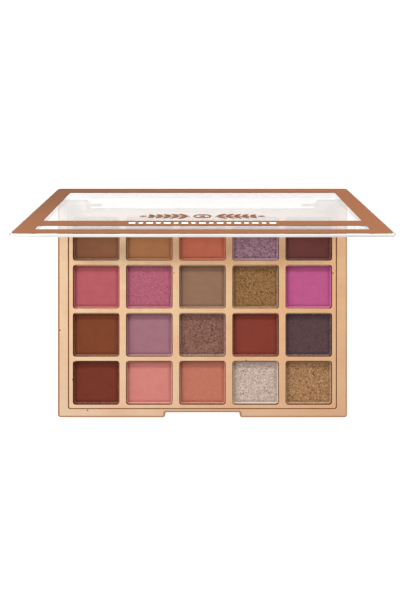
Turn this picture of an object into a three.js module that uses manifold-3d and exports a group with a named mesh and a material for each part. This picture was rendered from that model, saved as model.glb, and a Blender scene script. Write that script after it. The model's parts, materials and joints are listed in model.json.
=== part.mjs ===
// An eyeshadow palette with twenty pressed powders and a clear hinged lid.
// Millimetres. +X is right, +Y is towards the hinge, +Z is up. The origin is the centre of the underside.

import * as THREE from 'three';
import { mergeVertices } from 'three/addons/utils/BufferGeometryUtils.js';
import Module from 'manifold-3d';

const wasm = await Module();
wasm.setup();

// ---- Driving dimensions ----

const COLUMNS = 5;
const ROWS = 4;

const base = { width: 160, depth: 120.5, height: 12, corner: 1.6, edge: 1.3, floor: 1.4 };

// The insert lies a little towards the front, because the hinge takes the rear rim.
const tray = { width: 148, depth: 108.8, centreY: -1, thickness: 5, belowRim: 1.2, corner: 1.2, gap: 0.15 };
const ledge = { width: 1.2, rib: 1.2 };

const well = { width: 25.9, depth: 24, corner: 1.5, floor: 1, pitchX: 29.4, pitchY: 26.55, centreY: -1.3 };
const pan = { width: 25.3, depth: 23.4, corner: 1.3, height: 2.9, wall: 0.9, floor: 0.4, lift: 0.1 };
const powder = { gap: 0.05, belowPanRim: 0.6, slope: 1.5, dish: 0.3, dishInset: 0.4 };

const notch = { width: 41.2, depth: 2.8, corner: 1 };
const recess = { width: 126.2, depth: 4.9 };

const hinge = { fromRear: 2.4, height: 4.6, openDegrees: 73 };
const pin = { radius: 0.75, sunk: 0.4, intoBoss: 7, baseHole: 0.8, bossHole: 0.85 };

const lid = { width: 162.2, thickness: 1.4, gap: 0.2, frontInset: 0.5, corner: 2, edge: 0.25 };
const lip = { inset: 0.6, width: 1, height: 0.9, startFromAxis: 12 };
const knuckle = { endGap: 0.4, boss: 7.6, bossRadius: 2.2, barRadius: 1.5, wall: 1.4 };
const gusset = { count: 4, width: 1.2, reach: 1.5, drop: 3 };

const foil = { thickness: 0.1, gap: 0.05, sideInset: 0.95, rearInset: 1.2, frontInset: 1.3, corner: 2.2 };
const frame = { side: 8.5, rear: 14, windowLength: 77.2, band: 10.7, slotLength: 7.8, corner: 0.5 };

const label = { width: 70, depth: 26, corner: 2, thickness: 0.12, recess: 0.25, gap: 0.15, centreY: -32 };

// ---- Sizes worked out from them ----

const rearY = base.depth / 2;
const frontY = -base.depth / 2;
const trayTop = base.height - tray.belowRim;
const trayBottom = trayTop - tray.thickness;
const wellBottom = trayBottom + well.floor;
const panBottom = wellBottom + pan.lift;
const panTop = panBottom + pan.height;
const axisY = rearY - hinge.fromRear;
const axisZ = hinge.height;
const lidBottom = base.height + lid.gap;
const lidTop = lidBottom + lid.thickness;
const lidFrontY = frontY + lid.frontInset;
const CUT = 1;                       // how far a cutting shape runs past the face that it opens
const ROUND_SEGMENTS = 16;
const CORNER_SEGMENTS = 2;           // an arc gets twice as many steps

// ---- Solids ----

function toSolid(geometry) {
  geometry.deleteAttribute('normal');
  geometry.deleteAttribute('uv');
  const merged = mergeVertices(geometry, 1e-4);
  return new wasm.Manifold(new wasm.Mesh({
    numProp: 3,
    vertProperties: new Float32Array(merged.attributes.position.array),
    triVerts: new Uint32Array(merged.index.array),
  }));
}

function toGeometry(solid) {
  const mesh = solid.getMesh();
  const geometry = new THREE.BufferGeometry();
  geometry.setAttribute('position', new THREE.BufferAttribute(mesh.vertProperties, 3));
  geometry.setIndex(new THREE.BufferAttribute(mesh.triVerts, 1));
  geometry.computeVertexNormals();
  return geometry;
}

function join(solids) {
  return solids.reduce((whole, solid) => whole.add(solid));
}

function cut(solid, cutters) {
  return cutters.reduce((rest, cutter) => rest.subtract(cutter), solid);
}

// Draws a rounded rectangle about (x, y) into a shape or a path.
function roundedRectangle(path, width, depth, radius, x = 0, y = 0) {
  const right = x + width / 2 - radius;
  const left = x - width / 2 + radius;
  const rear = y + depth / 2 - radius;
  const front = y - depth / 2 + radius;
  path.moveTo(right + radius, front);
  path.absarc(right, rear, radius, 0, Math.PI / 2);
  path.absarc(left, rear, radius, Math.PI / 2, Math.PI);
  path.absarc(left, front, radius, Math.PI, Math.PI * 1.5);
  path.absarc(right, front, radius, Math.PI * 1.5, Math.PI * 2);
  return path;
}

function slab(shape, low, high) {
  const geometry = new THREE.ExtrudeGeometry(shape, {
    depth: high - low,
    bevelEnabled: false,
    curveSegments: CORNER_SEGMENTS,
  });
  geometry.translate(0, 0, low);
  return geometry;
}

function roundedSlab(width, depth, radius, low, high, x = 0, y = 0) {
  return slab(roundedRectangle(new THREE.Shape(), width, depth, radius, x, y), low, high);
}

// A rounded slab whose top and bottom edges are rounded too. Its full outline is width by depth.
function softSlab(width, depth, radius, low, high, edge, edgeSegments, y = 0) {
  const shape = roundedRectangle(new THREE.Shape(), width, depth, radius, 0, y);
  const geometry = new THREE.ExtrudeGeometry(shape, {
    depth: high - low - 2 * edge,
    bevelThickness: edge,
    bevelSize: edge,
    bevelOffset: -edge,
    bevelSegments: edgeSegments,
    curveSegments: CORNER_SEGMENTS,
  });
  geometry.translate(0, 0, low + edge);
  return geometry;
}

function block(lowX, highX, lowY, highY, lowZ, highZ) {
  const geometry = new THREE.BoxGeometry(highX - lowX, highY - lowY, highZ - lowZ);
  geometry.translate((lowX + highX) / 2, (lowY + highY) / 2, (lowZ + highZ) / 2);
  return geometry;
}

// A round bar along X on the hinge axis.
function hingeBar(radius, lowX, highX) {
  const geometry = new THREE.CylinderGeometry(radius, radius, highX - lowX, ROUND_SEGMENTS);
  geometry.rotateZ(Math.PI / 2);
  geometry.translate((lowX + highX) / 2, axisY, axisZ);
  return geometry;
}

function columnX(column) {
  return (column - (COLUMNS - 1) / 2) * well.pitchX;
}

// Row 0 is the rear one.
function rowY(row) {
  return well.centreY + ((ROWS - 1) / 2 - row) * well.pitchY;
}

function forEachWell(make) {
  const made = [];
  for (let row = 0; row < ROWS; row += 1) {
    for (let column = 0; column < COLUMNS; column += 1) {
      made.push(make(row, column));
    }
  }
  return made;
}

// ---- Materials ----

const gold = new THREE.MeshStandardMaterial({ color: 0xe0b88f, roughness: 0.22, metalness: 0.85 });
const goldInsert = new THREE.MeshStandardMaterial({ color: 0xe2b994, roughness: 0.25, metalness: 0.8 });
const aluminium = new THREE.MeshStandardMaterial({ color: 0xc9c5c2, roughness: 0.3, metalness: 1 });
const copper = new THREE.MeshStandardMaterial({ color: 0xb0774f, roughness: 0.35, metalness: 0.7 });
const steel = new THREE.MeshStandardMaterial({ color: 0xb8bbbf, roughness: 0.25, metalness: 1 });
const paper = new THREE.MeshStandardMaterial({ color: 0xf1ece4, roughness: 0.8, metalness: 0 });
const clear = new THREE.MeshStandardMaterial({
  color: 0xf4f4f2,
  roughness: 0.05,
  metalness: 0,
  transparent: true,
  opacity: 0.35,
});

// Colour and finish of each powder, rear row first, from left to right.
const finishRoughness = { matte: 0.95, satin: 0.6, shimmer: 0.45, glitter: 0.3 };
const shades = [
  [[0x7f553c, 'matte'], [0x9a6945, 'matte'], [0xaf604a, 'matte'], [0x8a6774, 'glitter'], [0x683b38, 'matte']],
  [[0xb95e64, 'matte'], [0xb15f73, 'shimmer'], [0x926f59, 'matte'], [0x906c44, 'glitter'], [0xbe5c87, 'matte']],
  [[0x80442c, 'matte'], [0xa3707b, 'matte'], [0x856054, 'glitter'], [0x823c30, 'matte'], [0x584347, 'shimmer']],
  [[0x763829, 'matte'], [0xd6827a, 'matte'], [0xc2735f, 'satin'], [0xc5aea0, 'glitter'], [0xa87d57, 'glitter']],
];

function powderMaterial(row, column) {
  const [color, finish] = shades[row][column];
  const metalness = finish === 'glitter' ? 0.5 : 0;
  return new THREE.MeshStandardMaterial({ color, roughness: finishRoughness[finish], metalness });
}

// ---- Sub-parts ----

// The moulded base: a floor and a rim, with room for the insert, a finger notch in front and the
// hinge recess behind. The recess goes right through, between two ears that carry the pins.
function baseShell() {
  const outside = softSlab(base.width, base.depth, base.corner, 0, base.height, base.edge, 4);
  const pocketWidth = tray.width + 2 * tray.gap;
  const pocketDepth = tray.depth + 2 * tray.gap;
  const pocket = roundedSlab(
    pocketWidth, pocketDepth, tray.corner, trayBottom, base.height + CUT, 0, tray.centreY);

  // Below the insert, four long rooms leave a ledge all round and a rib under each bar of wells.
  const innerRear = tray.centreY + pocketDepth / 2 - ledge.width;
  const innerFront = tray.centreY - pocketDepth / 2 + ledge.width;
  const innerHalf = pocketWidth / 2 - ledge.width;
  const rooms = [];
  for (let row = 0; row < ROWS; row += 1) {
    const ribRear = rowY(row) + well.pitchY / 2 - ledge.rib / 2;
    const ribFront = rowY(row) - well.pitchY / 2 + ledge.rib / 2;
    const high = row === 0 ? innerRear : ribRear;
    const low = row === ROWS - 1 ? innerFront : ribFront;
    rooms.push(block(-innerHalf, innerHalf, low, high, base.floor, trayBottom + CUT));
  }

  const fingerNotch = roundedSlab(
    notch.width, 2 * notch.depth, notch.corner, -CUT, base.height + CUT, 0, frontY);
  const hingeRecess = block(
    -recess.width / 2, recess.width / 2, rearY - recess.depth, rearY + CUT, -CUT, base.height + CUT);
  const pinHole = hingeBar(pin.baseHole, -base.width / 2 - CUT, base.width / 2 + CUT);
  const labelRecess = roundedSlab(
    label.width + 2 * label.gap, label.depth + 2 * label.gap, label.corner, -CUT, label.recess,
    0, label.centreY);

  const cutters = [pocket, ...rooms, fingerNotch, hingeRecess, pinHole, labelRecess];
  return toGeometry(cut(toSolid(outside), cutters.map(toSolid)));
}

// The insert: a plate with one square well for each pan.
function panTray() {
  const plate = roundedSlab(tray.width, tray.depth, tray.corner, trayBottom, trayTop, 0, tray.centreY);
  const wells = forEachWell((row, column) => roundedSlab(
    well.width, well.depth, well.corner, wellBottom, trayTop + CUT, columnX(column), rowY(row)));
  return toGeometry(cut(toSolid(plate), wells.map(toSolid)));
}

// A shallow pan: a thin floor inside a broad wall, which holds the cake below its rim.
function metalPan(row, column) {
  const x = columnX(column);
  const y = rowY(row);
  const outside = roundedSlab(pan.width, pan.depth, pan.corner, panBottom, panTop, x, y);
  const inside = roundedSlab(
    pan.width - 2 * pan.wall, pan.depth - 2 * pan.wall, pan.corner - pan.wall,
    panBottom + pan.floor, panTop + CUT, x, y);
  return toGeometry(toSolid(outside).subtract(toSolid(inside)));
}

// A pressed cake: it fills its pan and its top is a shallow dish with sloping sides.
function pressedPowder(row, column) {
  const x = columnX(column);
  const y = rowY(row);
  const side = pan.wall + powder.gap;
  const width = pan.width - 2 * side;
  const depth = pan.depth - 2 * side;
  const top = panTop - powder.belowPanRim;
  const low = panBottom + pan.floor + powder.gap;
  const cake = roundedSlab(width, depth, pan.corner - side, low, top, x, y);

  const floorInset = powder.dishInset + powder.slope;
  const floorShape = roundedRectangle(
    new THREE.Shape(), width - 2 * floorInset, depth - 2 * floorInset, powder.dishInset, x, y);
  const dish = new THREE.ExtrudeGeometry(floorShape, {
    depth: CUT,
    bevelThickness: powder.dish,
    bevelSize: powder.slope,
    bevelSegments: 1,
    curveSegments: 1,
  });
  dish.translate(0, 0, top);
  return toGeometry(toSolid(cake).subtract(toSolid(dish)));
}

// The clear lid, as it lies when shut: a plate, a low locating lip under it, and the hinge knuckle,
// which is a wall and a bar with a bored boss at each end.
function clearLid() {
  const plateDepth = rearY - lidFrontY;
  const plateY = (rearY + lidFrontY) / 2;
  const plate = softSlab(
    lid.width, plateDepth, lid.corner, lidBottom, lidTop, lid.edge, 1, plateY);

  const lipX = tray.width / 2 - lip.inset;
  const lipFront = tray.centreY - tray.depth / 2 + lip.inset;
  const lipRear = axisY - lip.startFromAxis;
  const lipLow = lidBottom - lip.height;
  const lipHigh = lidBottom + lid.thickness / 2;
  const lips = [
    block(-lipX, lipX, lipFront, lipFront + lip.width, lipLow, lipHigh),
    block(-lipX, -lipX + lip.width, lipFront, lipRear, lipLow, lipHigh),
    block(lipX - lip.width, lipX, lipFront, lipRear, lipLow, lipHigh),
  ];

  const halfKnuckle = recess.width / 2 - knuckle.endGap;
  const wallRear = axisY + knuckle.bossRadius;
  const wall = block(
    -halfKnuckle, halfKnuckle, wallRear - knuckle.wall, wallRear, axisZ, lipHigh);
  const bar = hingeBar(knuckle.barRadius, -halfKnuckle, halfKnuckle);
  const bosses = [-1, 1].map((side) => {
    const outer = side * halfKnuckle;
    const inner = side * (halfKnuckle - knuckle.boss);
    return hingeBar(knuckle.bossRadius, Math.min(outer, inner), Math.max(outer, inner));
  });
  const gussets = [];
  for (let i = 0; i < gusset.count; i += 1) {
    const x = ((i + 0.5) / gusset.count - 0.5) * recess.width;
    gussets.push(block(
      x - gusset.width / 2, x + gusset.width / 2, axisY - gusset.reach, wallRear - knuckle.wall / 2,
      lidBottom - gusset.drop, lipHigh));
  }

  const holes = [-1, 1].map((side) => {
    const outer = side * (halfKnuckle + CUT);
    const inner = side * (halfKnuckle - knuckle.boss);
    return hingeBar(pin.bossHole, Math.min(outer, inner), Math.max(outer, inner));
  });
  const added = [plate, ...lips, wall, bar, ...bosses, ...gussets];
  return toGeometry(cut(join(added.map(toSolid)), holes.map(toSolid)));
}

// The printed frame on the lid's outer face: a border, a long window, a cross band and a slot window.
function lidPrint() {
  const rear = rearY - foil.rearInset;
  const front = lidFrontY + foil.frontInset;
  const width = lid.width - 2 * foil.sideInset;
  const shape = roundedRectangle(
    new THREE.Shape(), width, rear - front, foil.corner, 0, (rear + front) / 2);

  const openWidth = width - 2 * frame.side;
  const windowRear = rear - frame.rear;
  const slotRear = windowRear - frame.windowLength - frame.band;
  const openings = [
    [windowRear, frame.windowLength],
    [slotRear, frame.slotLength],
  ];
  for (const [openRear, length] of openings) {
    shape.holes.push(roundedRectangle(
      new THREE.Path(), openWidth, length, frame.corner, 0, openRear - length / 2));
  }
  const low = lidTop + foil.gap;
  return slab(shape, low, low + foil.thickness);
}

function hingePin(side) {
  const outer = side * (base.width / 2 - pin.sunk);
  const inner = side * (recess.width / 2 - pin.intoBoss);
  return hingeBar(pin.radius, Math.min(outer, inner), Math.max(outer, inner));
}

function baseLabel() {
  const top = label.recess - 0.02;
  return roundedSlab(
    label.width, label.depth, label.corner, top - label.thickness, top, 0, label.centreY);
}

// ---- Assembly ----

function named(name, geometry, material) {
  const mesh = new THREE.Mesh(geometry, material);
  mesh.name = name;
  return mesh;
}

function wellName(piece, row, column) {
  return `${piece}_r${row + 1}_c${column + 1}`;
}

const palette = new THREE.Group();
palette.add(named('base_shell', baseShell(), gold));
palette.add(named('pan_tray', panTray(), goldInsert));
forEachWell((row, column) => {
  palette.add(named(wellName('pan', row, column), metalPan(row, column), aluminium));
  palette.add(named(
    wellName('powder', row, column), pressedPowder(row, column), powderMaterial(row, column)));
});
palette.add(named('hinge_pin_left', hingePin(-1), steel));
palette.add(named('hinge_pin_right', hingePin(1), steel));
palette.add(named('base_label', baseLabel(), paper));

// The lid's pieces are drawn shut and turn together about the hinge axis.
const lidPivot = new THREE.Group();
lidPivot.position.set(0, axisY, axisZ);
lidPivot.rotation.x = -THREE.MathUtils.degToRad(hinge.openDegrees);
for (const piece of [
  named('clear_lid', clearLid(), clear),
  named('lid_print', lidPrint(), copper),
]) {
  piece.geometry.translate(0, -axisY, -axisZ);
  lidPivot.add(piece);
}
palette.add(lidPivot);

export default palette;
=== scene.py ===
"""An eyeshadow palette: a gold base with twenty pressed powders and a clear printed lid, standing open."""

import json
import math

import bmesh
import bpy
from mathutils import Matrix, Vector, noise
from mathutils.geometry import tessellate_polygon


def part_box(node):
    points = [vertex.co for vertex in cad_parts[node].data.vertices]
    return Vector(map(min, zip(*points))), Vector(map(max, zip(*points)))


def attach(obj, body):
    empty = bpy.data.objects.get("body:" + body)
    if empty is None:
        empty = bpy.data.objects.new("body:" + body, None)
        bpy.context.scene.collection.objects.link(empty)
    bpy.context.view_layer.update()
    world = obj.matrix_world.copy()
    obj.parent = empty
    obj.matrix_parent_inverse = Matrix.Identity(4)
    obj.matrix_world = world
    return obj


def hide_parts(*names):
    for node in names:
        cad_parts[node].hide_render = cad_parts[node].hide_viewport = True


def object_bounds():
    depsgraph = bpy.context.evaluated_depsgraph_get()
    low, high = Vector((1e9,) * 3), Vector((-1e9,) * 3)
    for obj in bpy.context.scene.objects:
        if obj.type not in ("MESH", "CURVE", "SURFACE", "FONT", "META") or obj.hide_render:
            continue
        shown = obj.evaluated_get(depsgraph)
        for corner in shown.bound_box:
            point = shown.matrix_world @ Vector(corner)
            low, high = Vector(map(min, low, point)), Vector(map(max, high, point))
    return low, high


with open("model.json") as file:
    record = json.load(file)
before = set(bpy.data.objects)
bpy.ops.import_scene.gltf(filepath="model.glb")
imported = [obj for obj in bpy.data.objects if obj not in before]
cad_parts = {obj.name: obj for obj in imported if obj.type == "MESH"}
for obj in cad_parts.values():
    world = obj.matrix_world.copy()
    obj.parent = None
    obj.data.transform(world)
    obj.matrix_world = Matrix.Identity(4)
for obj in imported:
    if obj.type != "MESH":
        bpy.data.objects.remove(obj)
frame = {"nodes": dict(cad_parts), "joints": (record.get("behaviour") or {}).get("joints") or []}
cad_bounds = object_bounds()

MM = 0.001
ROWS = 4
COLUMNS = 5

# The lid's pieces are drawn shut, and swung open about the hinge to where the frame has them.
HINGE = frame["joints"][0]
HINGE_AT = Vector(HINGE["pos_m"])
OPEN_ANGLE = -math.radians(HINGE["range_deg"][0])
SWING = (
    Matrix.Translation(HINGE_AT)
    @ Matrix.Rotation(OPEN_ANGLE, 4, Vector(HINGE["axis"]))
    @ Matrix.Translation(-HINGE_AT)
)


def shut_box(node):
    """The lowest and highest corners of one of the lid's CAD nodes, with the lid shut."""
    unswing = SWING.inverted()
    points = [unswing @ vertex.co for vertex in frame["nodes"][node].data.vertices]
    low = Vector(min(p[i] for p in points) for i in range(3))
    high = Vector(max(p[i] for p in points) for i in range(3))
    return low, high


# ---- Outlines ----

def rounded_polygon(corners, steps=6):
    """Points round a polygon whose corners are (x, y, radius), counter-clockwise."""
    points = []
    for i, (x, y, radius) in enumerate(corners):
        corner = Vector((x, y))
        back = (Vector(corners[i - 1][:2]) - corner).normalized()
        onward = (Vector(corners[(i + 1) % len(corners)][:2]) - corner).normalized()
        half = back.angle(onward) / 2
        centre = corner + (back + onward).normalized() * radius / math.sin(half)
        start = corner + back * radius / math.tan(half) - centre
        end = corner + onward * radius / math.tan(half) - centre
        turn = start.angle(end)
        for step in range(steps + 1):
            share = step / steps
            arm = start * math.sin((1 - share) * turn) + end * math.sin(share * turn)
            points.append(centre + arm / math.sin(turn))
    return points


def rectangle(low_x, high_x, low_y, high_y, radius, steps=6):
    """Points round a rectangle with rounded corners."""
    corners = [(low_x, low_y), (high_x, low_y), (high_x, high_y), (low_x, high_y)]
    return rounded_polygon([(x, y, radius) for x, y in corners], steps)


def inset(points, amount):
    """The outline moved inwards by that amount, or outwards where it is negative."""
    moved = []
    for i, here in enumerate(points):
        arriving = (here - points[i - 1]).normalized()
        leaving = (points[(i + 1) % len(points)] - here).normalized()
        inward = Vector((-arriving.y, arriving.x))
        inward_next = Vector((-leaving.y, leaving.x))
        moved.append(here + (inward + inward_next) * amount / (1 + inward.dot(inward_next)))
    return moved


def edge(radius, z, rise=1, side=1, steps=5, rest=0.05 * MM):
    """(inset, z) pairs of a rounded edge, from the wall to the flat face at z.

    rise is 1 for a face above the wall and -1 for one below it. side is 1 where the face lies inside
    the outline and -1 where it lies outside. The last pair keeps the flat face's shading flat.
    """
    pairs = []
    for step in range(steps + 1):
        turn = math.pi / 2 * step / steps
        pairs.append((side * radius * (1 - math.cos(turn)), z - rise * radius * (1 - math.sin(turn))))
    return pairs + [(side * (radius + rest), z)]


# ---- Meshes ----

class Shell:
    """One closed mesh, made of walls that follow outlines and of flat faces between them."""

    def __init__(self):
        self.bm = bmesh.new()

    def walls(self, outline, profile):
        """Walls through the (inset, z) pairs of a profile. Returns the first and the last ring."""
        rings = []
        for amount, z in profile:
            rings.append([self.bm.verts.new((p.x, p.y, z)) for p in inset(outline, amount)])
        for lower, upper in zip(rings, rings[1:]):
            for i in range(len(lower)):
                self.bm.faces.new((lower[i - 1], lower[i], upper[i], upper[i - 1]))
        return rings[0], rings[-1]

    def face(self, *rings):
        """A flat face inside the first ring, with the other rings as holes."""
        vertices = [vertex for ring in rings for vertex in ring]
        for triangle in tessellate_polygon([[vertex.co for vertex in ring] for ring in rings]):
            self.bm.faces.new([vertices[i] for i in triangle])

    def finish(self, name, sharp=40):
        bmesh.ops.recalc_face_normals(self.bm, faces=self.bm.faces)
        return finished(name, self.bm, sharp)


def finished(name, bm, sharp=40):
    """A smooth-shaded object of that mesh, with edges sharper than that many degrees kept."""
    mesh = bpy.data.meshes.new(name)
    bm.to_mesh(mesh)
    bm.free()
    piece = bpy.data.objects.new(name, mesh)
    bpy.context.scene.collection.objects.link(piece)
    smooth(piece, sharp)
    return piece


def smooth(piece, sharp):
    """Smooth shading, with edges sharper than that many degrees kept."""
    piece.data.shade_smooth()
    piece.data.set_sharp_from_angle(angle=math.radians(sharp))


def carve(piece, other, operation):
    """Joins other to piece or cuts it away, and deletes other."""
    modifier = piece.modifiers.new("carve", "BOOLEAN")
    modifier.operation = operation
    modifier.solver = "EXACT"
    modifier.object = other
    with bpy.context.temp_override(object=piece, active_object=piece, selected_objects=[piece]):
        bpy.ops.object.modifier_apply(modifier="carve")
    bpy.data.objects.remove(other)


def drop_slivers(piece):
    """Closes up the edges of no length that carving can leave."""
    bm = bmesh.new()
    bm.from_mesh(piece.data)
    shortest = 0.002 * MM
    bmesh.ops.dissolve_degenerate(bm, dist=shortest, edges=bm.edges)
    bm.to_mesh(piece.data)
    bm.free()


def bar(radius, low_x, high_x, at, sides=32, dome=0.0):
    """A round bar along X, through (at.y, at.z), with its ends rounded by dome."""
    bm = bmesh.new()
    stations = [(low_x, radius), (high_x, radius)]
    if dome > 0:
        start = [(low_x, radius - dome), (low_x + dome, radius)]
        end = [(high_x - dome, radius), (high_x, radius - dome)]
        stations = start + end
    rings = []
    for x, reach in stations:
        ring = []
        for i in range(sides):
            turn = 2 * math.pi * i / sides
            ring.append(bm.verts.new((x, at.y + reach * math.cos(turn), at.z + reach * math.sin(turn))))
        rings.append(ring)
    for first, second in zip(rings, rings[1:]):
        for i in range(sides):
            bm.faces.new((first[i - 1], first[i], second[i], second[i - 1]))
    bm.faces.new(rings[0])
    bm.faces.new(rings[-1])
    bmesh.ops.recalc_face_normals(bm, faces=bm.faces)
    return finished("bar", bm)


def block(low, high):
    """A box between two corners."""
    bm = bmesh.new()
    bmesh.ops.create_cube(bm, size=1)
    for vertex in bm.verts:
        for i in range(3):
            vertex.co[i] = high[i] if vertex.co[i] > 0 else low[i]
    return finished("block", bm)


# ---- Materials ----

def linear(colour):
    """A screen colour such as 0xe0b88f as linear light with alpha."""
    channels = [(colour >> shift & 255) / 255 for shift in (16, 8, 0)]
    return [c / 12.92 if c <= 0.04045 else ((c + 0.055) / 1.055) ** 2.4 for c in channels] + [1.0]


def shaded(colour, share):
    """The linear colour made darker by a share under 1, or brighter by one over it."""
    return [channel * share for channel in colour[:3]] + [1.0]


class Nodes:
    """Short calls that add nodes to a node tree."""

    def __init__(self, tree):
        self.tree = tree

    def node(self, kind, inputs=None, **settings):
        made = self.tree.nodes.new(kind)
        for key, value in settings.items():
            setattr(made, key, value)
        for key, value in (inputs or {}).items():
            self.feed(made.inputs[key], value)
        return made

    def feed(self, socket, value):
        if isinstance(value, bpy.types.NodeSocket):
            self.tree.links.new(value, socket)
        else:
            socket.default_value = value

    def range(self, value, low, high, out_low=0.0, out_high=1.0):
        node = self.node("ShaderNodeMapRange", {
            "Value": value, "From Min": low, "From Max": high, "To Min": out_low, "To Max": out_high})
        return node.outputs["Result"]

    def maths(self, operation, first, second=0.0):
        return self.node("ShaderNodeMath", {0: first, 1: second}, operation=operation).outputs["Value"]

    def mix(self, share, first, second):
        return self.node("ShaderNodeMix", {0: share, 6: first, 7: second}, data_type="RGBA").outputs[2]


class Look(Nodes):
    """A material with a Principled shader, and the patterns that feed it."""

    # The upright parts of a surface's normal from which it counts as level, and below which as steep.
    LEVEL = 0.94
    STEEP = 0.76

    def __init__(self, name):
        self.material = bpy.data.materials.new(name)
        self.material.use_nodes = True
        super().__init__(self.material.node_tree)
        self.shader = self.tree.nodes["Principled BSDF"]
        self.coordinates = self.node("ShaderNodeTexCoord")
        self.position = self.coordinates.outputs["Object"]

    def set(self, **values):
        for key, value in values.items():
            self.feed(self.shader.inputs[key.replace("_", " ")], value)

    def noise(self, size, detail=2.0, rough=0.5, stretch=(1, 1, 1), twist=0.0):
        """Cloudy noise whose blotches are about size metres across. twist makes them wavy."""
        place = self.node("ShaderNodeMapping", {"Vector": self.position, "Scale": stretch})
        node = self.node("ShaderNodeTexNoise", {
            "Vector": place.outputs["Vector"], "Scale": 1 / size, "Detail": detail, "Roughness": rough,
            "Distortion": twist})
        return node.outputs["Fac"]

    def flakes(self, size):
        """Cells about size metres across, a random grey for each: partly a flake's own tone, partly painted
        glint.
        """
        cells = self.node("ShaderNodeTexVoronoi", {"Vector": self.position, "Scale": 1 / size})
        return self.node("ShaderNodeSeparateColor", {"Color": cells.outputs["Color"]}).outputs["Red"]

    def specks(self, spacing, size, share):
        """1 on small round specks of the level faces, one to a cell, in that share of the cells."""
        cells = self.node(
            "ShaderNodeTexVoronoi", {"Vector": self.position, "Scale": 1 / spacing}, voronoi_dimensions="2D")
        near = self.range(cells.outputs["Distance"], 0.35 * size / spacing, 0.5 * size / spacing, 1.0, 0.0)
        pick = self.node("ShaderNodeSeparateColor", {"Color": cells.outputs["Color"]}).outputs["Red"]
        chosen = self.maths("MULTIPLY", near, self.range(pick, share, share + 0.01, 1.0, 0.0))
        return self.maths("MULTIPLY", chosen, self.range(self.steepness(), 0.0, 0.3, 1.0, 0.0))

    def steepness(self):
        """0 where the surface lies level and 1 where it stands steep."""
        parts = self.node("ShaderNodeSeparateXYZ", {0: self.coordinates.outputs["Normal"]})
        upright = self.maths("ABSOLUTE", parts.outputs["Z"])
        return self.range(upright, self.STEEP, self.LEVEL, 1.0, 0.0)

    def bump(self, height, depth, strength=1.0, under=None):
        inputs = {"Height": height, "Distance": depth, "Strength": strength}
        if under is not None:
            inputs["Normal"] = under
        return self.node("ShaderNodeBump", inputs).outputs["Normal"]


SPECK_SPACING = 8 * MM
SPECK_SIZE = 0.9 * MM
SPECK_COLOUR = 0x7a3d33


def gold_look(name, colour, pink_colour, steep_shade_colour, speck_share):
    """Metallised plastic: satin, softly clouded, with painted shade on steep faces, darker and redder there,
    and a few specks.
    """
    look = Look(name)
    clouds = look.noise(20 * MM, detail=2)
    haze = look.noise(4 * MM, detail=3)
    grain = look.noise(0.3 * MM, detail=2)
    tone = look.mix(look.range(clouds, 0.35, 0.65), linear(colour), linear(pink_colour))
    # Faint random clouds towards the darker colour that the steep faces take.
    tone = look.mix(look.range(haze, 0.35, 0.75, 0.0, 0.06), tone, linear(steep_shade_colour))
    # Painted shade: steep faces are given a darker, redder colour in place of the dimmer light they mirror.
    tone = look.mix(look.steepness(), tone, linear(steep_shade_colour))
    tone = look.mix(look.specks(SPECK_SPACING, SPECK_SIZE, speck_share), tone, linear(SPECK_COLOUR))
    look.set(
        Base_Color=tone,
        Metallic=1.0,
        Roughness=look.range(haze, 0.3, 0.7, 0.16, 0.21),
        Normal=look.bump(grain, 0.001 * MM, 0.2, look.bump(haze, 0.004 * MM, 0.3)),
    )
    return look.material


# What sets each finish apart: how much loose powder hides the pan's wall at least, how uneven the
# cake is, and the size and strength of its flecks, if it has any.
FINISHES = {
    "matte": {"dust": 0.94, "uneven": 0.012 * MM},
    "satin": {"dust": 0.9, "uneven": 0.015 * MM, "fleck": 0.4 * MM, "strength": 0.3},
    "shimmer": {"dust": 0.9, "uneven": 0.03 * MM, "fleck": 0.4 * MM, "strength": 0.8},
    "frost": {"dust": 0.8, "uneven": 0.06 * MM, "fleck": 0.4 * MM, "strength": 1.25},
    "glitter": {"dust": 0.82, "uneven": 0.07 * MM, "fleck": 0.5 * MM, "strength": 1.5},
    "sparkle": {"dust": 0.8, "uneven": 0.07 * MM, "fleck": 0.42 * MM, "strength": 2.0},
}


# How much of its given colour a powder keeps, pressed as a cake and loose on the pan's wall.
CAKE_SHARE = 0.8
DUST_SHARE = 0.72


def pan_look(name, colour, finish):
    """Satin aluminium with drawing lines, dusted with the powder it holds."""
    look = Look(name)
    lines = look.noise(0.7 * MM, detail=4, stretch=(1, 1, 0.1))
    patches = look.noise(1.6 * MM, detail=4, rough=0.65)
    dust = look.range(patches, 0.35, 0.6, FINISHES[finish]["dust"], 1.0)
    metal = look.mix(look.range(lines, 0.3, 0.7), linear(0xdfe2e6), linear(0xb9bdc2))
    look.set(
        Base_Color=look.mix(dust, metal, shaded(linear(colour), DUST_SHARE)),
        Metallic=look.range(dust, 0.3, 1.0, 0.7, 0.0),
        Roughness=look.range(lines, 0.3, 0.7, 0.45, 0.6),
        Specular_IOR_Level=0.2,
        Normal=look.bump(lines, 0.005 * MM, 0.6, look.bump(patches, 0.02 * MM, 0.5)),
    )
    return look.material


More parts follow.
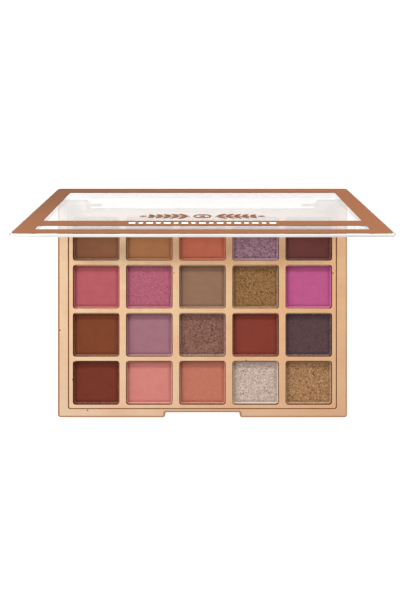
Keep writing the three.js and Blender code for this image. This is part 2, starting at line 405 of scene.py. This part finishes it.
def powder_look(name, colour, finish):
    """Pressed powder: matte, or with pearl or glitter flakes of its own size and strength."""
    look = Look(name)
    base = shaded(linear(colour), CAKE_SHARE)
    mottle = look.noise(5 * MM, detail=3)
    grain = look.noise(0.35 * MM, detail=3, rough=0.7)
    cool = [base[0] * 0.92, base[1] * 0.93, base[2] * 0.98, 1.0]
    tone = look.mix(look.range(mottle, 0.35, 0.65), cool, shaded(base, 1.08))
    tone = look.mix(look.range(grain, 0.3, 0.7), shaded(base, 0.92), tone)
    normal = look.bump(grain, 0.03 * MM, 0.5)
    look.set(Specular_IOR_Level=0.15, Roughness=0.92)
    if "fleck" in FINISHES[finish]:
        size, strength = FINISHES[finish]["fleck"], FINISHES[finish]["strength"]
        big = look.flakes(size)
        small = look.flakes(0.5 * size)
        waves = look.noise(2.2 * size, detail=3, rough=0.6, twist=1.6)
        flecks = look.maths("MULTIPLY", look.maths("ADD", big, small), 0.5)
        sparkle = look.maths("ADD", flecks, look.range(waves, 0.38, 0.52, -0.45, 0.05))
        # The flakes' tones are partly their own colours and partly painted glint: dark between them, bright
        # on them.
        dark = shaded(base, 1 - 0.45 * strength)
        bright = [min(1.0, channel * (1 + 0.5 * strength)) for channel in base[:3]] + [1.0]
        tone = look.mix(look.range(sparkle, 0.0, 0.9), dark, bright)
        look.set(
            Metallic=look.range(big, 0.6, 1.0, 0.0, 0.35 * strength),
            Roughness=look.range(small, 0.0, 1.0, 0.4, 0.75),
        )
        normal = look.bump(sparkle, 0.08 * MM * strength, 0.5, normal)
    look.set(Base_Color=tone, Normal=normal)
    return look.material


def foil_look(name, box, colour, left_shade_colour, right_shade_colour, worn_colour):
    """Metallic print: fine grain, a few rubbed spots, and painted shade that darkens it towards the hinge.

    box holds the print's lowest and highest corners. The painted shade is darker on the left than on the
    right.
    """
    look = Look(name)
    clouds = look.noise(14 * MM, detail=3)
    rubs = look.noise(0.8 * MM, detail=4, rough=0.7)
    low, high = box
    spot = look.node("ShaderNodeSeparateXYZ", {0: look.position}).outputs
    along = look.range(spot["X"], low.x, high.x)
    # Painted shade, not the foil's own colour: darker towards the hinge, and darker on the left than on the
    # right.
    painted_shade_share = look.range(spot["Z"], low.z, high.z, 1.0, 0.2)
    rear_painted_shade = look.mix(along, linear(left_shade_colour), linear(right_shade_colour))
    tone = look.mix(painted_shade_share, linear(colour), rear_painted_shade)
    tone = look.mix(look.range(clouds, 0.35, 0.75, 0.0, 0.3), tone, shaded(linear(colour), 0.8))
    tone = look.mix(look.range(rubs, 0.62, 0.8, 0.0, 0.6), tone, linear(worn_colour))
    look.set(
        Base_Color=tone,
        Metallic=1.0,
        Roughness=look.range(rubs, 0.3, 0.7, 0.3, 0.42),
        Specular_Tint=(0.72, 0.52, 0.42, 1),
        Normal=look.bump(rubs, 0.004 * MM, 0.5),
    )
    return look.material


def white_ink_look():
    """Matt white ink with a faint grain."""
    look = Look("white_ink")
    grain = look.noise(0.5 * MM, detail=4)
    look.set(
        Base_Color=look.mix(look.range(grain, 0.3, 0.7), linear(0xfaf8f6), linear(0xece5df)),
        Roughness=0.7,
        Normal=look.bump(grain, 0.004 * MM, 0.5),
    )
    return look.material


def clear_look():
    """Clear polished plastic: it lets most light through head on and mirrors more and more aslant."""
    slant_power = 3.4
    least_mirror = 0.04
    look = Look("clear_plastic")
    smears = look.noise(18 * MM, detail=3, stretch=(1, 0.3, 0.3))
    facing = look.node("ShaderNodeLayerWeight", {"Blend": 0.5}).outputs["Facing"]
    slant = look.maths("POWER", facing, slant_power)
    mirror = look.range(slant, 0.0, 1.0, least_mirror, 1.0)
    see_through = look.node("ShaderNodeBsdfTransparent", {"Color": (0.97, 0.975, 0.97, 1)})
    gloss = look.node("ShaderNodeBsdfGlossy", {
        "Color": (0.82, 0.82, 0.82, 1),
        "Roughness": look.range(smears, 0.35, 0.7, 0.01, 0.06),
        "Normal": look.bump(smears, 0.02 * MM, 0.15),
    })
    surface = look.node("ShaderNodeMixShader", {
        0: mirror, 1: see_through.outputs[0], 2: gloss.outputs[0]})
    out = look.tree.nodes["Material Output"]
    look.tree.links.new(surface.outputs[0], out.inputs["Surface"])
    look.tree.nodes.remove(look.shader)
    return look.material


def clear_edge_look():
    """The plate's narrow edge, which gathers light from the whole plate and glows whitish."""
    look = Look("clear_plastic_edge")
    lines = look.noise(1.5 * MM, detail=4, stretch=(0.06, 1, 1))
    look.set(
        Base_Color=look.mix(look.range(lines, 0.35, 0.65), linear(0xfbfcfb), linear(0xe9edec)),
        Roughness=look.range(lines, 0.3, 0.7, 0.15, 0.35),
        Transmission_Weight=0.1,
        IOR=1.49,
        Normal=look.bump(lines, 0.01 * MM, 0.4),
    )
    return look.material


def steel_look():
    """Ground steel, with fine lines along the pins."""
    look = Look("pin_steel")
    lines = look.noise(0.3 * MM, detail=3, stretch=(0.1, 1, 1))
    look.set(
        Base_Color=look.mix(look.range(lines, 0.3, 0.7), linear(0xc9ccd0), linear(0xa3a6ab)),
        Metallic=1.0,
        Roughness=look.range(lines, 0.3, 0.7, 0.2, 0.34),
        Normal=look.bump(lines, 0.003 * MM, 0.5),
    )
    return look.material


def paper_look():
    """Uncoated label paper with faint fibres."""
    look = Look("label_paper")
    fibres = look.noise(0.6 * MM, detail=5, rough=0.7)
    look.set(
        Base_Color=look.mix(look.range(fibres, 0.3, 0.7), linear(0xf3eee6), linear(0xe6dfd4)),
        Roughness=0.85,
        Normal=look.bump(fibres, 0.01 * MM, 0.5),
    )
    return look.material


def place(piece, body, slot, *nodes, look=None):
    """Rides the piece on a body, gives it its material and hides the CAD nodes it stands for."""
    if look is not None:
        piece.data.materials.append(look)
    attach(piece, body)
    if nodes:
        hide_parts(*nodes)
    return piece


def recoat(node, look):
    """Gives a CAD node a better material in place of its own."""
    mesh = frame["nodes"][node].data
    mesh.materials.clear()
    mesh.materials.append(look)


# ---- The base ----

SHELL_LOW, SHELL_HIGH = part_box("base_shell")
TRAY_LOW, TRAY_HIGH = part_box("pan_tray")
LABEL_LOW, LABEL_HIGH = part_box("base_label")
RIM = SHELL_HIGH.z
NOTCH_HALF = 20.6 * MM
NOTCH_DEPTH = 2.8 * MM
RECESS_HALF = 63.1 * MM
RECESS_DEPTH = 4.9 * MM
FLOOR = 1.4 * MM
TRAY_CORNER = 1.2 * MM


def base_outline():
    """The base's outline, with its finger notch in front and its hinge recess behind."""
    left, right = SHELL_LOW.x, SHELL_HIGH.x
    front, rear = SHELL_LOW.y, SHELL_HIGH.y
    outer, mouth, inner = 1.6 * MM, 1.4 * MM, 0.6 * MM
    return rounded_polygon([
        (left, front, outer),
        (-NOTCH_HALF, front, mouth),
        (-NOTCH_HALF, front + NOTCH_DEPTH, inner),
        (NOTCH_HALF, front + NOTCH_DEPTH, inner),
        (NOTCH_HALF, front, mouth),
        (right, front, outer),
        (right, rear, outer),
        (RECESS_HALF, rear, mouth),
        (RECESS_HALF, rear - RECESS_DEPTH, inner),
        (-RECESS_HALF, rear - RECESS_DEPTH, inner),
        (-RECESS_HALF, rear, mouth),
        (left, rear, outer),
    ])


def rooms_under_the_tray(rear, front, half, rib):
    """Outlines of the four long rooms in the base, with a rib between them under each bar of wells."""
    bars = [rear]
    for row in range(1, ROWS):
        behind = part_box(f"pan_r{row}_c1")[0].y
        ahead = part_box(f"pan_r{row + 1}_c1")[1].y
        middle = (behind + ahead) / 2
        bars += [middle + rib / 2, middle - rib / 2]
    bars.append(front)
    return [rectangle(-half, half, bars[i + 1], bars[i], 0.5 * MM, 3) for i in range(0, len(bars), 2)]


def make_base_shell(look):
    """The moulded base, with the pocket for the tray, the rooms under it and the label's recess."""
    seam = 0.03 * MM
    ledge, rib = 1.2 * MM, 1.2 * MM
    pin_hole = 0.8 * MM
    shell = Shell()
    under = edge(0.9 * MM, SHELL_LOW.z, rise=-1)[::-1]
    bottom, top = shell.walls(base_outline(), under + edge(1.3 * MM, RIM))

    rear, front = TRAY_HIGH.y + seam, TRAY_LOW.y - seam
    half = TRAY_HIGH.x + seam
    pocket = rectangle(-half, half, front, rear, TRAY_CORNER)
    mouth, shelf = shell.walls(pocket, edge(0.25 * MM, RIM, side=-1)[::-1] + [(0, TRAY_LOW.z)])
    shell.face(top, mouth)
    room_mouths = []
    for outline in rooms_under_the_tray(rear - ledge, front + ledge, half - ledge, rib):
        room_mouth, floor = shell.walls(outline, [(0, TRAY_LOW.z), (0, FLOOR)])
        room_mouths.append(room_mouth)
        shell.face(floor)
    shell.face(shelf, *room_mouths)

    margin = 0.15 * MM
    recess = rectangle(
        LABEL_LOW.x - margin, LABEL_HIGH.x + margin, LABEL_LOW.y - margin, LABEL_HIGH.y + margin, 2 * MM)
    lip, ceiling = shell.walls(recess, [(0, SHELL_LOW.z), (0, LABEL_HIGH.z + 0.02 * MM)])
    shell.face(bottom, lip)
    shell.face(ceiling)

    piece = shell.finish("base_shell_visual")
    hole = bar(pin_hole, SHELL_LOW.x - MM, SHELL_HIGH.x + MM, HINGE_AT)
    carve(piece, hole, "DIFFERENCE")
    smooth(piece, 40)
    return place(piece, "base", "gold_shell", "base_shell", look=look)


def well_outline(row, column):
    """The opening of one well, round the CAD pan inside it, and the height of the pan's underside."""
    side, ends = 0.15 * MM, 0.36 * MM
    low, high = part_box(f"pan_r{row}_c{column}")
    return rectangle(low.x - side, high.x + side, low.y - ends, high.y + ends, 1.5 * MM), low.z


def each_well():
    """The row and column of every well, rear row first."""
    for row in range(1, ROWS + 1):
        for column in range(1, COLUMNS + 1):
            yield row, column


def make_pan_tray(look):
    """The insert: a plate with softly rounded edges and one well for each pan."""
    shell = Shell()
    outline = rectangle(TRAY_LOW.x, TRAY_HIGH.x, TRAY_LOW.y, TRAY_HIGH.y, TRAY_CORNER)
    under = edge(0.3 * MM, TRAY_LOW.z, rise=-1, steps=3)[::-1]
    bottom, top = shell.walls(outline, under + edge(0.25 * MM, TRAY_HIGH.z))
    mouths = []
    for row, column in each_well():
        opening, pan_bottom = well_outline(row, column)
        walls = edge(0.18 * MM, TRAY_HIGH.z, side=-1)[::-1] + [(0, pan_bottom - 0.1 * MM)]
        mouth, floor = shell.walls(opening, walls)
        mouths.append(mouth)
        shell.face(floor)
    shell.face(top, *mouths)
    shell.face(bottom)
    piece = shell.finish("pan_tray_visual")
    return place(piece, "base", "gold_insert", "pan_tray", look=look)


def make_pan(row, column, look):
    """A shallow pan: a thin rim, and an inner wall that slopes in to the edge of the cake."""
    node = f"pan_r{row}_c{column}"
    low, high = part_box(node)
    cake_low, cake_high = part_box(f"powder_r{row}_c{column}")
    clear = 0.05 * MM
    foot = cake_low.x - low.x - clear
    meets = cake_high.z - 0.32 * MM
    lip = 0.1 * MM
    rim = 0.22 * MM
    outline = rectangle(low.x, high.x, low.y, high.y, 1.3 * MM, steps=5)
    profile = edge(0.4 * MM, low.z, rise=-1, steps=3)[::-1]
    profile += [(0, high.z - lip), (0.3 * lip, high.z - 0.3 * lip), (lip, high.z), (rim - lip, high.z)]
    profile += [(rim, high.z - 0.5 * lip), (foot, meets)]
    profile += [(foot + amount, z) for amount, z in edge(0.2 * MM, cake_low.z - clear, -1, steps=2)]
    shell = Shell()
    under, inside = shell.walls(outline, profile)
    shell.face(under)
    shell.face(inside)
    return place(shell.finish(f"{node}_visual", 30), "base", "pan_aluminium", node, look=look)


# ---- The powders ----

# Colour and finish of each powder, rear row first, from left to right.
SHADES = [
    [(0x7f553c, "matte"), (0x9a6945, "matte"), (0xaf604a, "matte"), (0x937181, "sparkle"),
     (0x683b38, "matte")],
    [(0xb35d64, "matte"), (0xab5f73, "shimmer"), (0x8f6f5a, "matte"), (0x906c44, "glitter"),
     (0xbf5d90, "matte")],
    [(0x7b432b, "matte"), (0x9d6f7b, "matte"), (0x856054, "glitter"), (0x823c30, "matte"),
     (0x584347, "shimmer")],
    [(0x713628, "matte"), (0xcd827a, "matte"), (0xb9725f, "satin"), (0xc6b4a9, "frost"),
     (0xa67f5a, "glitter")],
]


def to_rounded(offset, half, radius):
    """Moves a point of a rectangle, given from its centre, so that the rectangle's corners are round."""
    over = [max(0.0, (abs(offset[i]) - half[i] + radius) / radius) for i in range(2)]
    if min(over) <= 0:
        return offset
    disc = (over[0] * math.sqrt(1 - over[1] ** 2 / 2), over[1] * math.sqrt(1 - over[0] ** 2 / 2))
    return tuple(
        math.copysign(half[i] - radius + disc[i] * radius, offset[i]) for i in range(2))


def depth_inside(offset, half, radius):
    """How far a point lies inside a rounded rectangle's edge."""
    over = [abs(offset[i]) - half[i] + radius for i in range(2)]
    outside = math.hypot(max(over[0], 0.0), max(over[1], 0.0))
    return radius - outside - min(max(over), 0.0)


def open_edges(bm):
    """The edges that only one face meets."""
    return [link for link in bm.edges if link.is_boundary]


def make_powder(row, column, finish, look):
    """A pressed cake: a nearly flat top that falls away at the rim, a little uneven all over."""
    node = f"powder_r{row}_c{column}"
    low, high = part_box(node)
    radius, fall, shoulder, rim = 0.7 * MM, 0.3 * MM, 1.6 * MM, 0.4 * MM
    uneven = FINISHES[finish]["uneven"]
    coarse, fine = 450, 1300                # noise cells to a metre
    centre = (low + high) / 2
    half = ((high.x - low.x) / 2, (high.y - low.y) / 2)
    across = 72
    bm = bmesh.new()
    grid = []
    for j in range(across + 1):
        line = []
        for i in range(across + 1):
            square = (half[0] * (2 * i / across - 1), half[1] * (2 * j / across - 1))
            offset = to_rounded(square, half, radius)
            depth = depth_inside(offset, half, radius)
            z = high.z - fall * (1 - min(depth / shoulder, 1.0)) ** 2
            spot = Vector((centre.x + offset[0], centre.y + offset[1], 0.0))
            calm = min(depth / rim, 1.0)
            z += uneven * calm * (noise.noise(spot * coarse) + 0.6 * noise.noise(spot * fine) - 0.8)
            line.append(bm.verts.new((spot.x, spot.y, z)))
        grid.append(line)
    for lower, upper in zip(grid, grid[1:]):
        for i in range(across):
            bm.faces.new((lower[i], lower[i + 1], upper[i + 1], upper[i]))
    skirt = bmesh.ops.extrude_edge_only(bm, edges=open_edges(bm))["geom"]
    for vertex in skirt:
        if isinstance(vertex, bmesh.types.BMVert):
            vertex.co.z = low.z
    bmesh.ops.contextual_create(bm, geom=open_edges(bm))
    bmesh.ops.recalc_face_normals(bm, faces=bm.faces)
    piece = finished(f"{node}_visual", bm, 50)
    return place(piece, "base", node, node, look=look)


# ---- The lid ----

LID_LOW, LID_HIGH = shut_box("clear_lid")
PRINT_LOW, PRINT_HIGH = shut_box("lid_print")
PRINT_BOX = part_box("lid_print")
PLATE_THICKNESS = 1.4 * MM
PLATE_LOW = LID_HIGH.z - PLATE_THICKNESS
KNUCKLE_HALF = RECESS_HALF - 0.4 * MM
BOSS_LENGTH = 7.6 * MM

# The print: its borders at the sides and the hinge, and the lengths of what follows from the hinge.
SIDE_BORDER = 8.5 * MM
REAR_BORDER = 14 * MM
WINDOW = 77.2 * MM
BAND = 10.7 * MM
SLOT = 7.8 * MM
WINDOW_REAR = PRINT_HIGH.y - REAR_BORDER
SLOT_REAR = WINDOW_REAR - WINDOW - BAND


def lid_extras():
    """The solids that join the plate: the locating lip, the hinge wall, its bar, bosses and gussets."""
    into = PLATE_LOW + PLATE_THICKNESS / 2
    lip_low = PLATE_LOW - 0.9 * MM
    lip_x = TRAY_HIGH.x - 0.6 * MM
    lip_y = TRAY_LOW.y + 0.6 * MM
    lip_end = HINGE_AT.y - 12 * MM
    wide = MM
    extras = [
        block((-lip_x, lip_y, lip_low), (lip_x, lip_y + wide, into)),
        block((-lip_x, lip_y, lip_low), (-lip_x + wide, lip_end, into)),
        block((lip_x - wide, lip_y, lip_low), (lip_x, lip_end, into)),
    ]
    half = KNUCKLE_HALF
    boss_radius, wall = 2.2 * MM, 1.4 * MM
    wall_rear = HINGE_AT.y + boss_radius
    extras.append(block((-half, wall_rear - wall, HINGE_AT.z), (half, wall_rear, into)))
    extras.append(bar(1.5 * MM, -half, half, HINGE_AT, dome=0.2 * MM))
    extras.append(bar(boss_radius, -half, -half + BOSS_LENGTH, HINGE_AT, dome=0.3 * MM))
    extras.append(bar(boss_radius, half - BOSS_LENGTH, half, HINGE_AT, dome=0.3 * MM))
    gussets, thick, reach, drop = 4, 1.2 * MM, 1.5 * MM, 3 * MM
    for i in range(gussets):
        x = ((i + 0.5) / gussets - 0.5) * 2 * RECESS_HALF
        low = (x - thick / 2, HINGE_AT.y - reach, PLATE_LOW - drop)
        extras.append(block(low, (x + thick / 2, wall_rear - wall / 2, into)))
    return extras


def make_clear_lid(look, edge_look):
    """The clear moulding. The plate's narrow edge has a look of its own."""
    pin_hole = 0.85 * MM
    outline = rectangle(LID_LOW.x, LID_HIGH.x, LID_LOW.y, LID_HIGH.y, 2 * MM)
    plate = Shell()
    profile = edge(0.3 * MM, PLATE_LOW, rise=-1, steps=4)[::-1] + edge(0.3 * MM, LID_HIGH.z, steps=4)
    bottom, top = plate.walls(outline, profile)
    plate.face(bottom)
    plate.face(top)
    piece = plate.finish("clear_lid_visual")
    for extra in lid_extras():
        carve(piece, extra, "UNION")
    for side in (-1, 1):
        ends = sorted((side * (KNUCKLE_HALF + MM), side * (KNUCKLE_HALF - BOSS_LENGTH)))
        carve(piece, bar(pin_hole, *ends, HINGE_AT), "DIFFERENCE")
    drop_slivers(piece)
    piece.data.materials.clear()
    piece.data.materials.append(look)
    piece.data.materials.append(edge_look)
    rim = 0.2 * MM
    upright = 0.8
    for polygon in piece.data.polygons:
        on_rim = (
            abs(polygon.center.x) > LID_HIGH.x - rim
            or polygon.center.y < LID_LOW.y + rim
            or polygon.center.y > LID_HIGH.y - rim
        )
        polygon.material_index = int(on_rim and abs(polygon.normal.z) < upright)
    smooth(piece, 40)
    piece.data.transform(SWING)
    return place(piece, "lid", "clear_plastic", "clear_lid")


def make_lid_print(look):
    """The foil frame: a border, a long window, a cross band and a slot window."""
    corner, opening_corner = 2.2 * MM, 0.6 * MM
    shell = Shell()
    outline = rectangle(PRINT_LOW.x, PRINT_HIGH.x, PRINT_LOW.y, PRINT_HIGH.y, corner)
    heights = [(0, PRINT_LOW.z), (0, PRINT_HIGH.z)]
    bottom, top = shell.walls(outline, heights)
    bottoms, tops = [bottom], [top]
    for opening_rear, length in ((WINDOW_REAR, WINDOW), (SLOT_REAR, SLOT)):
        opening = rectangle(
            PRINT_LOW.x + SIDE_BORDER, PRINT_HIGH.x - SIDE_BORDER, opening_rear - length, opening_rear,
            opening_corner)
        low_ring, high_ring = shell.walls(opening, heights)
        bottoms.append(low_ring)
        tops.append(high_ring)
    shell.face(*bottoms)
    shell.face(*tops)
    piece = shell.finish("lid_print_visual")
    piece.data.transform(SWING)
    return place(piece, "lid", "copper_foil", "lid_print", look=look)


def add_flat(shell, outline, low, high):
    """Adds a thin flat solid of that outline."""
    bottom, top = shell.walls(outline, [(0, low), (0, high)])
    shell.face(bottom)
    shell.face(top)


def circle(x, y, radius, steps=32):
    """Points round a circle, counter-clockwise."""
    turns = [2 * math.pi * i / steps for i in range(steps)]
    return [Vector((x + radius * math.cos(t), y + radius * math.sin(t))) for t in turns]


def leaf(x, y, length, width, angle, steps=10):
    """A pointed leaf that grows from (x, y) in that direction."""
    along = Vector((math.cos(angle), math.sin(angle)))
    across = Vector((-along.y, along.x))
    root = Vector((x, y))
    out = [root + along * length * i / steps for i in range(steps + 1)]
    halves = [width / 2 * math.sin(math.pi * i / steps) for i in range(steps + 1)]
    lower = [point - across * half for point, half in zip(out, halves)]
    upper = [point + across * half for point, half in zip(out, halves)]
    return lower + upper[-2:0:-1]


def make_ornament(look):
    """A plain printed ornament in the window: a ring and a dot between two leafy sprigs."""
    shell = Shell()
    low, high = PRINT_LOW.z, PRINT_HIGH.z
    y = -21 * MM
    ring, line, dot = 4.2 * MM, 0.9 * MM, 1.3 * MM
    stem_start, stem_end, half_stem = 6 * MM, 25 * MM, 0.35 * MM
    leaves, lean = 5, 0.85
    first, pitch = 7 * MM, 3.8 * MM
    longest, shrink, width = 6.4 * MM, 0.55 * MM, 2 * MM
    outer_low, outer_high = shell.walls(circle(0, y, ring), [(0, low), (0, high)])
    inner_low, inner_high = shell.walls(circle(0, y, ring - line), [(0, low), (0, high)])
    shell.face(outer_low, inner_low)
    shell.face(outer_high, inner_high)
    add_flat(shell, circle(0, y, dot), low, high)
    for side in (-1, 1):
        forward = 0 if side > 0 else math.pi
        ends = sorted((side * stem_start, side * stem_end))
        add_flat(shell, rectangle(*ends, y - half_stem, y + half_stem, 0.3 * MM), low, high)
        add_flat(shell, leaf(side * 25.6 * MM, y, 3.4 * MM, 1.8 * MM, forward), low, high)
        for i in range(leaves):
            x = side * (first + pitch * i)
            length = longest - shrink * i
            for turn in (-1, 1):
                start = y + turn * 0.8 * MM
                add_flat(shell, leaf(x, start, length, width, forward + side * turn * lean), low, high)
    piece = shell.finish("lid_ornament")
    piece.data.transform(SWING)
    return place(piece, "lid", "copper_foil", look=look)


def make_band_marks(look):
    """A row of plain white dashes and dots along the cross band."""
    shell = Shell()
    clear, thickness = 0.01 * MM, 0.04 * MM
    low = PRINT_HIGH.z + clear
    high = low + thickness
    y = SLOT_REAR + BAND / 2
    marks_each_side, pitch = 8, 3.9 * MM
    half_dash, half_high = 1.5 * MM, 1.1 * MM
    for i in range(-marks_each_side, marks_each_side + 1):
        x = i * pitch
        if i % 2:
            add_flat(shell, circle(x, y, half_high, 20), low, high)
        else:
            dash = rectangle(x - half_dash, x + half_dash, y - half_high, y + half_high, 0.7 * MM)
            add_flat(shell, dash, low, high)
    piece = shell.finish("lid_band_marks")
    piece.data.transform(SWING)
    return place(piece, "lid", "label_paper", look=look)


# ---- Stage, light and camera ----

def make_floor():
    """A pale floor, a hair below the palette. It can't be seen from beneath, so the underside can."""
    half_size = 12
    hair = 0.02 * MM
    bm = bmesh.new()
    bmesh.ops.create_grid(bm, x_segments=1, y_segments=1, size=half_size)
    floor = finished("floor", bm)
    floor.location.z = cad_bounds[0].z - hair
    look = Look("floor_white")
    mottle = look.noise(40 * MM, detail=3)
    look.set(
        Base_Color=look.mix(look.range(mottle, 0.3, 0.7), linear(0x9c9c9c), linear(0x989898)),
        Roughness=0.9,
        Specular_IOR_Level=0.0,
        Emission_Color=(1, 1, 1, 1),
        Emission_Strength=0.86,
    )
    beneath = look.node("ShaderNodeNewGeometry").outputs["Backfacing"]
    gone = look.node("ShaderNodeBsdfTransparent")
    surface = look.node("ShaderNodeMixShader", {
        0: beneath, 1: look.shader.outputs[0], 2: gone.outputs[0]})
    look.tree.links.new(surface.outputs[0], look.tree.nodes["Material Output"].inputs["Surface"])
    floor.data.materials.append(look.material)


# The light from each part of the studio, as linear red, green and blue.
STUDIO = {
    "ceiling_rear_left": (1.06, 1.1, 1.12),
    "ceiling_rear_right": (0.82, 0.69, 0.57),
    "ceiling_front_left": (0.78, 0.76, 0.88),
    "ceiling_front_right": (0.62, 0.52, 0.5),
    "wall_left": (0.46, 0.36, 0.3),
    "wall_right": (0.42, 0.38, 0.34),
    "wall_rear": (1.3, 1.25, 1.2),
    "skirting_left": (0.26, 0.23, 0.2),
    "skirting_right": (0.42, 0.39, 0.36),
    "horizon": (1.0, 1.0, 1.0),
    "below": (0.62, 0.61, 0.6),
}


def glow(part):
    """A part of the studio's light as a colour socket takes it."""
    return (*STUDIO[part], 1)


def make_world():
    """A soft studio: a bright ceiling, cooler to the left and warmer to the right, over dimmer walls.

    The rear wall is bright too. Under the walls lies a dim skirting, which turns white towards the
    horizon. x, y and z are the parts of a direction: to the right, to the rear and up.
    """
    world = bpy.data.worlds.new("studio")
    world.use_nodes = True
    sky = Nodes(world.node_tree)
    direction = sky.node("ShaderNodeTexCoord").outputs["Generated"]
    split = sky.node("ShaderNodeSeparateXYZ", {0: direction})
    x, y, z = split.outputs["X"], split.outputs["Y"], split.outputs["Z"]
    rear = sky.mix(sky.range(x, -0.25, 0.2), glow("ceiling_rear_left"), glow("ceiling_rear_right"))
    front = sky.mix(sky.range(x, -0.25, 0.25), glow("ceiling_front_left"), glow("ceiling_front_right"))
    ceiling = sky.mix(sky.range(y, -0.32, 0.02), front, rear)
    walls = sky.mix(sky.range(x, -0.5, 0.3), glow("wall_left"), glow("wall_right"))
    walls = sky.mix(sky.range(y, 0.55, 0.85), walls, glow("wall_rear"))
    skirting = sky.mix(sky.range(x, -0.8, 0.4), glow("skirting_left"), glow("skirting_right"))
    skirting = sky.mix(sky.range(z, 0.0, 0.25), glow("horizon"), skirting)
    skirting = sky.mix(sky.range(z, -0.1, -0.02), glow("below"), skirting)
    wall_rise = sky.range(x, -0.55, -0.2, 0.42, 0.0)         # the left wall reaches higher
    above_wall = sky.maths("SUBTRACT", z, wall_rise)
    colour = sky.mix(sky.range(above_wall, 0.44, 0.8), walls, ceiling)
    colour = sky.mix(sky.range(z, 0.2, 0.38), skirting, colour)
    sky.feed(world.node_tree.nodes["Background"].inputs["Color"], colour)
    bpy.context.scene.world = world


def make_panel(name, azimuth, elevation, width, height, power):
    """A flat lamp that faces the palette and doesn't show in mirroring surfaces.

    Azimuth 0 is behind the palette and 90 to its left. The power is in watts.
    """
    distance = 1.2
    across, up = math.radians(azimuth), math.radians(elevation)
    away = Vector((-math.sin(across) * math.cos(up), math.cos(across) * math.cos(up), math.sin(up)))
    lamp = bpy.data.lights.new(name, "AREA")
    lamp.shape = "RECTANGLE"
    lamp.size = width
    lamp.size_y = height
    lamp.energy = power
    holder = bpy.data.objects.new(name, lamp)
    holder.location = away * distance
    holder.rotation_euler = away.to_track_quat("Z", "Y").to_euler()
    holder.visible_glossy = False
    bpy.context.scene.collection.objects.link(holder)


def make_camera():
    """Straight above the palette, a little behind its middle."""
    above_rim = 439.3 * MM
    behind_middle = 4.65 * MM
    data = bpy.data.cameras.new("camera")
    data.sensor_fit = "VERTICAL"
    data.sensor_height = 36
    data.lens = 47.8
    data.shift_x = -0.0041
    camera = bpy.data.objects.new("camera", data)
    camera.location = (0, behind_middle, RIM + above_rim)
    camera.rotation_euler = (0, 0, 0)
    bpy.context.scene.collection.objects.link(camera)
    bpy.context.scene.camera = camera


# ---- Making it ----

make_camera()
make_world()
make_panel("key_from_behind", azimuth=0, elevation=23, width=1.6, height=0.12, power=24)
make_panel("fill_from_left", azimuth=82, elevation=28, width=0.8, height=0.7, power=12.3)
make_floor()
bpy.context.scene.view_settings.view_transform = "Standard"

shell_gold = gold_look(
    "gold_shell", colour=0xf6d5b0, pink_colour=0xf3cba6, steep_shade_colour=0xb58059, speck_share=0.18)
insert_gold = gold_look(
    "gold_insert", colour=0xf9d8ae, pink_colour=0xf8cba2, steep_shade_colour=0xc48f64, speck_share=0.03)
make_base_shell(shell_gold)
make_pan_tray(insert_gold)
for row, column in each_well():
    colour, finish = SHADES[row - 1][column - 1]
    make_pan(row, column, pan_look(f"pan_r{row}_c{column}", colour, finish))
    make_powder(row, column, finish, powder_look(f"powder_r{row}_c{column}", colour, finish))

copper = foil_look(
    "copper_foil", PRINT_BOX,
    colour=0xa67558, left_shade_colour=0x5c3212, right_shade_colour=0x96562c, worn_colour=0xb8845f)
white_ink = white_ink_look()
make_clear_lid(clear_look(), clear_edge_look())
make_lid_print(copper)
make_ornament(copper)
make_band_marks(white_ink)

pin_steel = steel_look()
recoat("hinge_pin_left", pin_steel)
recoat("hinge_pin_right", pin_steel)
recoat("base_label", paper_look())
